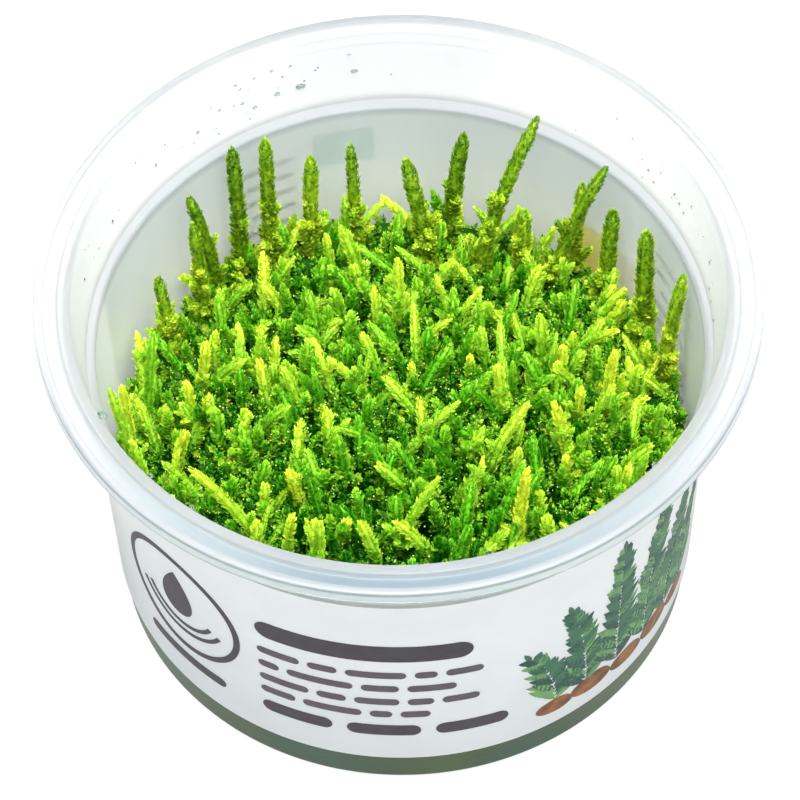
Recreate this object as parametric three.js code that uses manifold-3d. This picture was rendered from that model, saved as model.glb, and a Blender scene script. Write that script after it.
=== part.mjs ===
// Weeping moss grown in a round tissue culture cup: a frosted plastic cup with a flat flange, a printed
// wrap label, a disc of nutrient gel, the matted cushion of moss and the taller shoots that stand out of it.
// Millimetres, +Z up, origin at the centre of the cup's flat underside; the label's front faces -Y.

import * as THREE from 'three';
import * as BufferGeometryUtils from 'three/addons/utils/BufferGeometryUtils.js';
import Module from 'manifold-3d';

const wasm = await Module();
wasm.setup();

// Driving dimensions

const FLANGE_RADIUS = 47.5;        // outer edge of the flange, 95 mm across
const CUP_HEIGHT = 57;             // underside to the top of the flange
const WALL = 0.8;                  // thickness of the moulded wall and floor
const FOOT_RADIUS = 39.3;          // outside of the wall just above the underside
const LEDGE_HEIGHT = 45.6;         // the small inside ledge, where the label also stops
const LEDGE_RADIUS = 41.0;         // outside of the lower wall, just under the ledge
const LEDGE_STEP = 1.1;            // how far the wall steps out at the ledge
const MOUTH_RADIUS = 42.7;         // inner edge of the mouth
const SKIRT_HEIGHT = 2.1;          // the flange's turned-down outer edge
const GAP = 0.3;                   // clear distance between pieces that touch
const CUP_SIDES = 48;

const LABEL_FOOT = 6.2;            // height of the label's lower edge
const LABEL_TOP = 44.6;
const LABEL_THICKNESS = 0.25;
const LABEL_GAP = 0.12;            // between the label and the wall it is stuck on
const LABEL_BARE_MIDDLE = 176.5;   // degrees from +X to the middle of the bare strip
const LABEL_BARE_ANGLE = 21;       // degrees of wall left bare between the label's ends

const GEL_TOP = 11.5;
const GEL_SIDES = 24;

const MAT_RIM_HEIGHT = 25;         // top of the moss at the wall, in the middle of the sides
const MAT_CROWN = 8;               // how much higher it stands in the middle of the cup
const MAT_TILT = 0.08;             // it falls away towards the back, mm per mm
const MAT_SIDES = 32;
const TUFT_GRID = 3.7;             // spacing of the mat's surface points; every third one is a tuft
const TUFT_HEIGHT = 3.4;           // shortest tuft of the mat
const TUFT_EXTRA = 3.4;            // how much taller the tallest one is
const ROOT_DEPTH = 2.2;            // how far a shoot's root sits down in the mat

// The radius of the cup's outer wall at a height, below the ledge
const wallRadius = (z) => FOOT_RADIUS + (LEDGE_RADIUS - FOOT_RADIUS) * z / LEDGE_HEIGHT;

// The height of the moss surface over a point of the floor
const matHeight = (x, y) => {
  const outward = Math.hypot(x, y) / (FOOT_RADIUS - WALL);
  return MAT_RIM_HEIGHT + MAT_CROWN * (1 - outward * outward) - MAT_TILT * y;
};

// Materials

const frostedPlastic = () => new THREE.MeshStandardMaterial({
  name: 'frosted_plastic', color: 0xeef0f3, roughness: 0.42, metalness: 0,
});
const printedLabel = () => new THREE.MeshStandardMaterial({
  name: 'printed_label', color: 0xe1e6eb, roughness: 0.5, metalness: 0,
});
const nutrientGel = () => new THREE.MeshStandardMaterial({
  name: 'nutrient_gel', color: 0x7f8f70, roughness: 0.25, metalness: 0,
});
const denseMoss = () => new THREE.MeshStandardMaterial({
  name: 'dense_moss', color: 0x2f7a16, roughness: 0.75, metalness: 0,
});
const shootMoss = (brightness) => new THREE.MeshStandardMaterial({
  name: 'shoot_moss', color: new THREE.Color(0x3f8f18).lerp(new THREE.Color(0xd2f02a), brightness),
  roughness: 0.7, metalness: 0,
});

// A number from 0 to 1 that is the same every time for the same place, for the moss's unevenness
function grain(i, k) {
  const mixed = Math.sin(i * 127.1 + k * 311.7) * 43758.55;
  return mixed - Math.floor(mixed);
}

// A geometry as a closed solid that can be cut and joined

function toSolid(geometry) {
  const bare = geometry.clone();
  bare.deleteAttribute('normal');
  bare.deleteAttribute('uv');
  const merged = BufferGeometryUtils.mergeVertices(bare, 1e-4);
  return new wasm.Manifold(new wasm.Mesh({
    numProp: 3,
    vertProperties: new Float32Array(merged.attributes.position.array),
    triVerts: new Uint32Array(merged.index.array),
  }));
}

function toGeometry(solid) {
  const mesh = solid.getMesh();
  const geometry = new THREE.BufferGeometry();
  geometry.setAttribute('position', new THREE.BufferAttribute(new Float32Array(mesh.vertProperties), 3));
  geometry.setIndex(new THREE.BufferAttribute(new Uint32Array(mesh.triVerts), 1));
  geometry.computeVertexNormals();
  return geometry;
}

// A closed turned profile: points are [radius, height], turned about the Z axis
function turned(points, sides) {
  const profile = points.map(([radius, height]) => new THREE.Vector2(radius, height));
  return new THREE.LatheGeometry(profile, sides).rotateX(Math.PI / 2);
}

// Cup

function cupGeometry() {
  const innerFoot = FOOT_RADIUS - WALL;
  const innerLedge = LEDGE_RADIUS - WALL;
  const upperWall = LEDGE_RADIUS + LEDGE_STEP;
  const skirtFoot = CUP_HEIGHT - SKIRT_HEIGHT;
  const flangeUnder = CUP_HEIGHT - 1.3;
  return turned([
    [0, 0],
    [FOOT_RADIUS - 0.9, 0],
    [FOOT_RADIUS, 0.9],
    [LEDGE_RADIUS, LEDGE_HEIGHT - 0.9],
    [upperWall, LEDGE_HEIGHT + 0.1],
    [MOUTH_RADIUS + WALL, flangeUnder - 0.8],
    [MOUTH_RADIUS + WALL + 0.9, flangeUnder],
    [FLANGE_RADIUS - 0.8, flangeUnder],
    [FLANGE_RADIUS - 0.7, skirtFoot],
    [FLANGE_RADIUS, skirtFoot],
    [FLANGE_RADIUS, CUP_HEIGHT - 0.3],
    [FLANGE_RADIUS - 0.3, CUP_HEIGHT],
    [FLANGE_RADIUS - 1.1, CUP_HEIGHT],
    [FLANGE_RADIUS - 1.4, CUP_HEIGHT - 0.75],
    [FLANGE_RADIUS - 2.8, CUP_HEIGHT - 0.75],
    [FLANGE_RADIUS - 3.2, CUP_HEIGHT - 0.1],
    [MOUTH_RADIUS + 0.4, CUP_HEIGHT - 0.1],
    [MOUTH_RADIUS, CUP_HEIGHT - 0.6],
    [upperWall - WALL, LEDGE_HEIGHT + 0.9],
    [innerLedge, LEDGE_HEIGHT],
    [innerFoot, WALL + 0.9],
    [innerFoot - 0.9, WALL],
    [0, WALL],
  ], CUP_SIDES);
}

// Label: a strip of a cone's wall, open at the bare strip between its ends

function labelGeometry() {
  const bareHalf = THREE.MathUtils.degToRad(LABEL_BARE_ANGLE / 2);
  const middle = THREE.MathUtils.degToRad(LABEL_BARE_MIDDLE);
  const start = middle + bareHalf;
  const end = middle + 2 * Math.PI - bareHalf;
  const footRadius = wallRadius(LABEL_FOOT) + LABEL_GAP;
  const strip = new THREE.Shape();
  strip.absarc(0, 0, footRadius + LABEL_THICKNESS, start, end, false);
  strip.absarc(0, 0, footRadius, end, start, true);
  const geometry = new THREE.ExtrudeGeometry(strip, {
    depth: LABEL_TOP - LABEL_FOOT, bevelEnabled: false, curveSegments: CUP_SIDES / 2, steps: 1,
  });
  geometry.translate(0, 0, LABEL_FOOT);
  const position = geometry.attributes.position;
  for (let i = 0; i < position.count; i += 1) {
    const z = position.getZ(i);
    const spread = (wallRadius(z) + LABEL_GAP) / footRadius;
    position.setXYZ(i, position.getX(i) * spread, position.getY(i) * spread, z);
  }
  return geometry;
}

// Gel: a disc that follows the tapered wall, a little hollow on top

function gelGeometry() {
  const floor = WALL + GAP;
  const radiusAt = (z) => wallRadius(z) - WALL - GAP;
  return turned([
    [0, floor],
    [radiusAt(floor) - 1.2, floor],
    [radiusAt(floor + 1.2), floor + 1.2],
    [radiusAt(GEL_TOP), GEL_TOP],
    [radiusAt(GEL_TOP) - 1, GEL_TOP - 0.35],
    [0, GEL_TOP - 0.5],
  ], GEL_SIDES);
}

// A leafy strand: a pointed turned body whose radius swells and narrows where leaves overlap, flattened
// as this moss is, and bent so that its tip comes to stand over [leanX, leanY]

function strandGeometry({ tall, wide, leaves, leanX = 0, leanY = 0, turn = 0, sides = 5, grow = 0 }) {
  const profile = [[0, -grow]];
  for (let i = 0; i < leaves; i += 1) {
    const along = (i + 0.15) / (leaves + 0.6);
    const taper = Math.min(1, 0.8 + along) * Math.min(1, 0.35 + (1 - along) * 1.6);
    profile.push([wide / 2 * taper * 0.62 + grow, tall * along - (i === 0 ? grow : 0)]);
    profile.push([wide / 2 * taper + grow, tall * (i + 0.75) / (leaves + 0.6)]);
  }
  profile.push([0, tall + grow]);
  const geometry = turned(profile, sides);
  const position = geometry.attributes.position;
  const cos = Math.cos(turn);
  const sin = Math.sin(turn);
  for (let i = 0; i < position.count; i += 1) {
    const z = position.getZ(i);
    const flatX = position.getX(i);
    const flatY = position.getY(i) * 0.8;
    const rise = Math.max(0, z / tall);
    const bend = rise * (0.45 + 0.55 * rise);
    position.setXYZ(i, flatX * cos - flatY * sin + leanX * bend, flatX * sin + flatY * cos + leanY * bend, z);
  }
  return geometry;
}

// Tall shoots, each [root x, root y, tip x, tip y, tip height, width, brightness of its green]

const BACK_SHOOTS = [
  [-24.5, 24.5, -28, 26, 45, 2.0, 0.15],
  [-26.5, 19.5, -27.5, 21, 45.5, 1.9, 0.15],
  [-21.5, 29, -22, 31, 49, 2.4, 0.1],
  [-17.5, 29, -17.5, 32, 49.5, 2.3, 0.15],
  [-12, 31, -11.5, 34, 43, 2.4, 0.1],
  [-5.5, 30.5, -6, 34, 45.5, 2.0, 0.2],
  [4.5, 27, 1.5, 31, 45.5, 2.6, 0.25],
  [7, 31.5, 9.5, 34, 47, 2.5, 0.1],
  [11, 26.5, 19.5, 33, 51.5, 2.3, 0.25],
  [17, 26, 17.5, 28, 37.5, 3.0, 0.3],
  [21, 24.5, 28.5, 26, 49, 2.0, 0.35],
  [24.5, 27.5, 25.5, 28.5, 42.5, 1.9, 0.2],
  [28.5, 22, 29.5, 24, 42, 2.5, 0.25],
  [33.5, 14.5, 33.5, 17, 46, 2.6, 0.1],
  [35.5, 7, 38, 9, 46.5, 2.2, 0.1],
  [-0.5, 26.5, 0.5, 29, 37, 2.2, 0.45],
  [-31, 14.5, -32.5, 17, 39, 2.0, 0.2],
];
const SIDE_SHOOTS = [
  [-34.5, 0.5, -32.5, 2, 46.5, 2.0, 0.95],
  [-36, -6, -38.2, -6, 45, 1.9, 0.55],
  [-36.5, -2, -37, -2.5, 41, 1.8, 0.6],
  [-27, 6, -26, 6.5, 38, 2.0, 0.55],
  [-28, 0, -28.5, 0.5, 37, 2.0, 0.75],
  [-30.5, -7, -28.5, -8, 38, 2.0, 0.9],
  [-21.5, 2, -21.5, 2.5, 37, 1.9, 0.5],
  [-24, 13.5, -24.5, 15, 37, 2.0, 0.4],
  [27.5, 0, 28.5, 1, 41, 2.2, 0.6],
  [29, -16, 32, -15, 39.5, 2.2, 0.6],
  [33.5, -5, 34.5, -5.5, 37.5, 1.9, 0.3],
];
const MIDDLE_SHOOTS = [
  [-4.5, 22.5, -7.5, 24, 40, 2.6, 0.5],
  [0, 13.5, 0, 15, 44, 2.4, 0.5],
  [-19.5, 7, -18.5, 8, 38, 2.2, 0.6],
  [-11, 12.5, -12, 14, 38.5, 2.2, 0.45],
  [-13.5, 0, -15.5, 1, 39, 2.2, 0.55],
  [-5, 2, -9.5, 3, 38.5, 2.0, 0.8],
  [3.5, 6, 4, 7, 39, 2.0, 0.5],
  [7, 12, 7.5, 13.5, 39, 2.2, 0.45],
  [13.5, -2, 13, -1, 41, 2.2, 0.8],
  [19.5, 7, 19, 8, 40, 2.3, 0.7],
  [23.5, -3, 24, -3, 38.5, 1.9, 0.6],
  [0, -9.5, 7.5, -7, 41.5, 2.0, 0.95],
];
const FRONT_SHOOTS = [
  [-18.5, -21.5, -27.5, -20, 46.5, 2.2, 0.95],
  [-2, -14, -4.5, -13, 41, 2.3, 0.7],
  [-13.5, -16, -15, -16, 39.5, 2.2, 0.8],
  [11.5, -10.5, 16.5, -8, 42, 2.3, 0.95],
  [22.5, -10, 20, -9, 43.5, 2.3, 0.65],
  [-1, -23, 4.5, -21, 44, 2.3, 0.9],
  [14.5, -23, 16, -21, 45.5, 2.4, 0.95],
  [6, -28, 8.5, -28, 43, 2.2, 0.7],
  [-11.5, -26, -11, -26, 42, 2.3, 0.75],
  [-22, -28, -23, -29, 38, 2.2, 0.4],
];
const SHOOTS = [...BACK_SHOOTS, ...SIDE_SHOOTS, ...MIDDLE_SHOOTS, ...FRONT_SHOOTS];

// A shoot about its root at the origin: the strand, and on some taller ones a short side sprig fused to it

function shootParts([rootX, rootY, tipX, tipY, tipZ, wide], index, grow) {
  const base = matHeight(rootX, rootY) - ROOT_DEPTH;
  const tall = tipZ - base;
  const leaves = Math.max(3, Math.min(4, Math.round(tall / 5)));
  const turn = index * 2.4;
  const strand = strandGeometry({
    tall, wide, leaves, leanX: tipX - rootX, leanY: tipY - rootY, turn, grow,
  });
  return { base, tall, strand, turn };
}

function shootGeometry(shoot, index) {
  const [rootX, rootY, tipX, tipY, , wide] = shoot;
  const { tall, strand, turn } = shootParts(shoot, index, 0);
  if (index % 3 !== 0 || tall < 17) {
    return strand;
  }
  const start = 0.5;
  const bend = start * (0.45 + 0.55 * start);
  const sprig = strandGeometry({
    tall: tall * 0.24, wide: wide * 0.75, leaves: 2,
    leanX: Math.cos(turn) * 1.9, leanY: Math.sin(turn) * 1.2,
  });
  sprig.translate((tipX - rootX) * bend, (tipY - rootY) * bend, tall * start);
  return toGeometry(toSolid(strand).add(toSolid(sprig)));
}

// Moss mat: a tangle that follows the wall, uneven on top. Its upper surface is a grid of even triangles,
// where every third point is drawn up into the peak of a short tuft that leans its own way.

function tuftedBlock() {
  const reach = 2 * (FOOT_RADIUS + TUFT_GRID);
  const rowStep = TUFT_GRID * Math.sin(Math.PI / 3);
  const skew = 1 / Math.tan(Math.PI / 3);
  const rows = Math.ceil(reach / rowStep);
  const columns = Math.ceil(reach * (1 + skew) / TUFT_GRID);
  const depth = MAT_RIM_HEIGHT;
  const block = new THREE.BoxGeometry(columns * TUFT_GRID, rows * rowStep, depth, columns, rows, 1);
  const position = block.attributes.position;
  for (let i = 0; i < position.count; i += 1) {
    const column = Math.round(position.getX(i) / TUFT_GRID + columns / 2);
    const row = Math.round(position.getY(i) / rowStep + rows / 2);
    let x = position.getX(i) - position.getY(i) * skew;
    let y = position.getY(i);
    let z = 0;
    if (position.getZ(i) > 0) {
      z = matHeight(x, y) + 1.2 * grain(row, column) - 1.4;
      if ((column + row) % 3 === 0) {
        z += TUFT_HEIGHT + TUFT_EXTRA * grain(column, row);
        x += 2.4 * (grain(column + 50, row) - 0.5);
        y += 2.4 * (grain(column, row + 50) - 0.5);
      }
    }
    position.setXYZ(i, x, y, z);
  }
  return block;
}

function matSolid() {
  const foot = GEL_TOP + GAP;
  const side = (z) => wallRadius(z) - WALL - GAP;
  const inside = turned([
    [0, foot],
    [side(foot) - 0.2, foot],
    [side(CUP_HEIGHT) - 0.2, CUP_HEIGHT],
    [0, CUP_HEIGHT],
  ], MAT_SIDES);
  let solid = toSolid(tuftedBlock()).intersect(toSolid(inside));
  SHOOTS.forEach((shoot, index) => {
    const { base, strand } = shootParts(shoot, index, GAP);
    strand.translate(shoot[0], shoot[1], base);
    solid = solid.subtract(toSolid(strand));
  });
  return solid;
}

// The object: the cup holds the gel, the gel carries the mat and the shoots stand in the mat

const object = new THREE.Group();

function addPiece(parent, name, geometry, material, x = 0, y = 0, z = 0) {
  const mesh = new THREE.Mesh(geometry, material);
  mesh.name = name;
  mesh.position.set(x, y, z);
  parent.add(mesh);
  return mesh;
}

const vessel = new THREE.Group();
addPiece(vessel, 'cup', cupGeometry(), frostedPlastic());
addPiece(vessel, 'label', labelGeometry(), printedLabel());
addPiece(vessel, 'gel', gelGeometry(), nutrientGel());
object.add(vessel);

const moss = new THREE.Group();
addPiece(moss, 'moss_mat', toGeometry(matSolid()), denseMoss());
SHOOTS.forEach((shoot, index) => {
  const { base } = shootParts(shoot, index, 0);
  const name = `shoot_${String(index + 1).padStart(2, '0')}`;
  addPiece(moss, name, shootGeometry(shoot, index), shootMoss(shoot[6]), shoot[0], shoot[1], base);
});
object.add(moss);

export default object;
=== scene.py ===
# Weeping moss in its tissue culture cup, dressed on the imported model: the frosted cup, its printed wrap
# label, the gel, the matted moss and every tall shoot. Metres, +Z up, the label's front towards -Y.
import math
import random

import bmesh
import bpy
import numpy as np
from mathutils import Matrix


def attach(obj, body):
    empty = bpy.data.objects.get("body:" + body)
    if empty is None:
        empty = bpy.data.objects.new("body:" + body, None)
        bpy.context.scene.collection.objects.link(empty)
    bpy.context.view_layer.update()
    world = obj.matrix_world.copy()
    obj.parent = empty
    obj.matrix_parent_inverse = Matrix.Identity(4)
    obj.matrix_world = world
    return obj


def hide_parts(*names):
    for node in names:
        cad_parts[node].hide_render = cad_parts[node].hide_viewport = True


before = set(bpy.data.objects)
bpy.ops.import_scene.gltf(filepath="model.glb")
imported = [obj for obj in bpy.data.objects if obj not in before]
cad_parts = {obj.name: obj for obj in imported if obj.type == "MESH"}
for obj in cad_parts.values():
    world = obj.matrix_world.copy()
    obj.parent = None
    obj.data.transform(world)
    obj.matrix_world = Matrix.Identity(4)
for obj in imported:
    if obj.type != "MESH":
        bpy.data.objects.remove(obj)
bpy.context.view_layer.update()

# Cup
# The real cup is one thin injection moulding in frosted polypropylene: a flat foot, a tapered wall, a
# small ledge inside where the wall steps out, and a wide flange with a groove and a turned-down edge.
MM = 0.001
CUP_HEIGHT = 57 * MM
WALL = 0.8 * MM
FOOT_RADIUS = 39.3 * MM
LEDGE_HEIGHT = 45.6 * MM
LEDGE_RADIUS = 41.0 * MM
UPPER_WALL_RADIUS = LEDGE_RADIUS + 1.1 * MM
MOUTH_RADIUS = 42.7 * MM
FLANGE_RADIUS = 47.5 * MM
FLANGE_UNDER = CUP_HEIGHT - 1.3 * MM
SKIRT_FOOT = CUP_HEIGHT - 2.1 * MM
CUP_SIDES = 192
GEL_TOP = 11.5 * MM
# Painted shade: the flange's top is greyed well below the wall's white, where the lamp falls on it.
PAINTED_FLANGE_TOP_SHADE = (0.62, 0.635, 0.655)
# Painted shade: the foot of the wall, which lets no light through, is painted the dark green of the shaded
# gel.
PAINTED_GEL_SHADE = (0.042, 0.082, 0.032)
# Uneven tints laid over that painted gel shade.
GEL_BLOTCHES = [(0.36, (0.42, 0.74, 0.92)), (0.5, (0.72, 0.78, 0.62)), (0.66, (1.0, 0.94, 0.66))]
# Painted shades up the cup, and outwards across the flange at its front and at its sides: the dark green
# of the shaded gel at the foot, a grey band at the ledge, a darker flange top, and a grey groove and dark
# lines round the flange's edge.
WALL_SHADES = [
    (GEL_TOP - 0.6 * MM, PAINTED_GEL_SHADE),
    (GEL_TOP + 1.6 * MM, (0.985, 1.0, 0.965)),
    (LEDGE_HEIGHT - 1.5 * MM, (0.96, 0.98, 0.985)),
    (LEDGE_HEIGHT - 0.3 * MM, (0.66, 0.69, 0.70)),
    (LEDGE_HEIGHT + 0.9 * MM, (0.66, 0.69, 0.70)),
    (LEDGE_HEIGHT + 1.8 * MM, (0.985, 0.99, 0.995)),
    (CUP_HEIGHT - 0.9 * MM, (0.92, 0.935, 0.95)),
    (CUP_HEIGHT - 0.2 * MM, PAINTED_FLANGE_TOP_SHADE),
]
# Painted shade across the flange, inner edge to outer: a grey-blue groove at the front, a lighter grey one
# at the sides.
FLANGE_SHADES_FRONT = [
    (0.0, (0.97, 0.985, 1.0)),
    (0.38, (0.90, 0.94, 0.97)),
    (0.50, (0.46, 0.56, 0.64)),
    (0.74, (0.45, 0.55, 0.63)),
    (0.80, (0.96, 0.98, 1.0)),
]
FLANGE_SHADES_SIDE = [
    (0.0, (1.0, 1.0, 1.0)),
    (0.40, (0.97, 0.98, 0.99)),
    (0.50, (0.76, 0.80, 0.82)),
    (0.74, (0.76, 0.80, 0.82)),
    (0.82, (0.93, 0.95, 0.97)),
]
# Painted shade down the flange's turned-down edge at the front, foot to top: dark lines at its foot and near
# its top.
SKIRT_SHADES = [
    (0.0, (0.36, 0.40, 0.41)),
    (0.10, (0.36, 0.40, 0.41)),
    (0.20, (0.80, 0.86, 0.88)),
    (0.72, (0.80, 0.86, 0.88)),
    (0.80, (0.45, 0.50, 0.52)),
    (0.90, (0.45, 0.50, 0.52)),
    (1.0, (0.95, 0.985, 1.0)),
]


def lower_wall_radius(height):
    """Outside radius of the tapered wall below the ledge."""
    return FOOT_RADIUS + (LEDGE_RADIUS - FOOT_RADIUS) * height / LEDGE_HEIGHT


def only(ob):
    """Deselects everything else and makes this piece the active one."""
    bpy.ops.object.select_all(action="DESELECT")
    ob.select_set(True)
    bpy.context.view_layer.objects.active = ob


def settle(ob, smooth_angle=35):
    """Puts the piece's place into its mesh and smooths it between its edges."""
    only(ob)
    bpy.ops.object.transform_apply(location=True, rotation=True, scale=True)
    bpy.ops.object.shade_smooth_by_angle(angle=math.radians(smooth_angle))


def turned_up(name, rings, sides):
    """A disc drawn up ring by ring, (radius, height), and closed by its last disc."""
    bpy.ops.object.select_all(action="DESELECT")
    radius, height = rings[0]
    bpy.ops.mesh.primitive_circle_add(
        vertices=sides, radius=radius, fill_type="NGON", location=(0, 0, height)
    )
    ob = bpy.context.active_object
    ob.name = name
    ob.data.name = name
    bpy.ops.object.mode_set(mode="EDIT")
    for next_radius, next_height in rings[1:]:
        rise = (0, 0, next_height - height)
        grow = next_radius / radius
        bpy.ops.mesh.extrude_region_move(TRANSFORM_OT_translate={"value": rise})
        bpy.ops.transform.resize(value=(grow, grow, 1), center_override=(0, 0, next_height))
        radius, height = next_radius, next_height
    bpy.ops.mesh.select_all(action="SELECT")
    bpy.ops.mesh.normals_make_consistent(inside=False)
    bpy.ops.object.mode_set(mode="OBJECT")
    return ob


def softened_edges(ob, width, over_angle=33):
    """Rounds the edges as moulding does."""
    only(ob)
    bevel = ob.modifiers.new("moulded edges", "BEVEL")
    bevel.width = width
    bevel.segments = 2
    bevel.limit_method = "ANGLE"
    bevel.angle_limit = math.radians(over_angle)
    bpy.ops.object.modifier_apply(modifier=bevel.name)


def new_material(name):
    """A fresh node material: its tree, its Principled shader and its output."""
    mat = bpy.data.materials.new(name)
    mat.use_nodes = True
    tree = mat.node_tree
    return mat, tree, tree.nodes["Principled BSDF"], tree.nodes["Material Output"]


def feed(tree, node, values):
    """Gives a node's sockets plain values, or the outputs of other nodes."""
    for socket, value in values.items():
        if isinstance(value, bpy.types.NodeSocket):
            tree.links.new(value, node.inputs[socket])
        else:
            node.inputs[socket].default_value = value


def outputs_of(tree, kind, values, **settings):
    """The outputs of a new shader node, with its settings made and its sockets fed."""
    node = tree.nodes.new("ShaderNode" + kind)
    for setting, value in settings.items():
        setattr(node, setting, value)
    feed(tree, node, values)
    return node.outputs


def object_point(tree):
    """The point on the piece, in the cup's own frame."""
    return outputs_of(tree, "TexCoord", {})["Object"]


def point_parts(tree):
    """The point on the piece as X, Y and Z."""
    return outputs_of(tree, "SeparateXYZ", {"Vector": object_point(tree)})


def blotches(tree, scale, detail):
    """Soft uneven patches over the piece, 0 to 1."""
    values = {"Vector": object_point(tree), "Scale": scale, "Detail": detail}
    return outputs_of(tree, "TexNoise", values)["Fac"]


def ramp(tree, value, stops):
    """Colours laid along a value: stops are (position, colour)."""
    node = tree.nodes.new("ShaderNodeValToRGB")
    elements = node.color_ramp.elements
    while len(elements) < len(stops):
        elements.new(0.5)
    for element, (position, colour) in zip(elements, stops):
        element.position = position
        element.color = (*colour, 1)
    tree.links.new(value, node.inputs["Fac"])
    return node.outputs["Color"]


def spread(tree, value, low, high, to_low=0, to_high=1):
    """A value stretched from one range to another, and kept inside it."""
    values = {"Value": value, "From Min": low, "From Max": high, "To Min": to_low, "To Max": to_high}
    return outputs_of(tree, "MapRange", values)["Result"]


def arithmetic(tree, operation, *values):
    """One step of arithmetic on plain values."""
    return outputs_of(tree, "Math", dict(enumerate(values)), operation=operation)["Value"]


def mixed(tree, share, first, second, way="MIX"):
    """Two colours blended: all of the first at a share of 0, all of the second at 1."""
    values = {"Factor": share, "A": first, "B": second}
    return outputs_of(tree, "Mix", values, data_type="RGBA", blend_type=way)["Result"]


def times(tree, first, second):
    """Two colours multiplied."""
    return mixed(tree, 1, first, second, "MULTIPLY")


def grained(tree, scale, detail, strength, depth):
    """A fine uneven skin."""
    values = {"Strength": strength, "Distance": depth, "Height": blotches(tree, scale, detail)}
    return outputs_of(tree, "Bump", values)["Normal"]


def frosted_plastic():
    """Hazy white, with painted shade: a grey band at the ledge, a darker top to the flange, a grey groove
    and dark lines round the flange's edge at the front, and a greyer back. Its foot is painted the dark
    green of the shaded gel behind it."""
    mat, tree, shader, _ = new_material("frosted_polypropylene")
    point = point_parts(tree)
    cloud = blotches(tree, 60, 4)
    haze = ramp(tree, cloud, [(0.3, (0.985, 0.985, 0.985)), (0.7, (1, 1, 1))])
    stops = [(height / CUP_HEIGHT, shade) for height, shade in WALL_SHADES]
    wall = ramp(tree, spread(tree, point["Z"], 0, CUP_HEIGHT), stops)
    above_gel = spread(tree, point["Z"], GEL_TOP - 0.6 * MM, GEL_TOP)
    gel_cloud = ramp(tree, blotches(tree, 48, 2), GEL_BLOTCHES)
    wall = times(tree, wall, mixed(tree, above_gel, gel_cloud, (1, 1, 1, 1)))

    # Painted shade at the front: across the flange, and down its turned-down edge.
    level = outputs_of(tree, "CombineXYZ", {"X": point["X"], "Y": point["Y"]})["Vector"]
    from_middle = outputs_of(tree, "VectorMath", {0: level}, operation="LENGTH")["Value"]
    sideways = arithmetic(tree, "ABSOLUTE", point["X"])
    across_flange = spread(tree, from_middle, 42 * MM, FLANGE_RADIUS)
    flange = mixed(
        tree,
        spread(tree, sideways, 9 * MM, 37 * MM),
        ramp(tree, across_flange, FLANGE_SHADES_FRONT),
        ramp(tree, across_flange, FLANGE_SHADES_SIDE),
    )
    skirt = ramp(tree, spread(tree, point["Z"], SKIRT_FOOT, CUP_HEIGHT), SKIRT_SHADES)
    on_skirt = spread(tree, from_middle, FLANGE_RADIUS - 0.25 * MM, FLANGE_RADIUS - 0.1 * MM)
    front = mixed(tree, on_skirt, flange, skirt)

    # Painted shade: the back half of the cup is greyed, and above the ledge only near its middle.
    beside_middle = spread(tree, sideways, 9 * MM, 24 * MM)
    above_ledge = spread(tree, point["Z"], LEDGE_HEIGHT, LEDGE_HEIGHT + 1.5 * MM)
    beside_back = arithmetic(tree, "MULTIPLY", beside_middle, above_ledge)
    towards_back = spread(tree, point["Y"], 8 * MM, 36 * MM)
    at_back = arithmetic(tree, "MULTIPLY", towards_back, spread(tree, beside_back, 0, 1, 1, 0))
    back = ramp(tree, at_back, [(0, (1, 1, 1)), (1, (0.87, 0.875, 0.88))])
    towards_front = spread(tree, point["Y"], -5 * MM, -25 * MM)

    feed(tree, shader, {
        "Base Color": times(tree, times(tree, wall, haze), mixed(tree, towards_front, back, front)),
        "Roughness": spread(tree, cloud, 0.3, 0.7, 0.30, 0.38),
        "IOR": 1.4,
        "Specular IOR Level": 0.16,
        "Transmission Weight": spread(tree, point["Z"], GEL_TOP, GEL_TOP + 1.5 * MM, 0, 0.75),
        "Normal": grained(tree, scale=900, detail=2, strength=0.08, depth=0.2 * MM),
    })
    return mat


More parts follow.
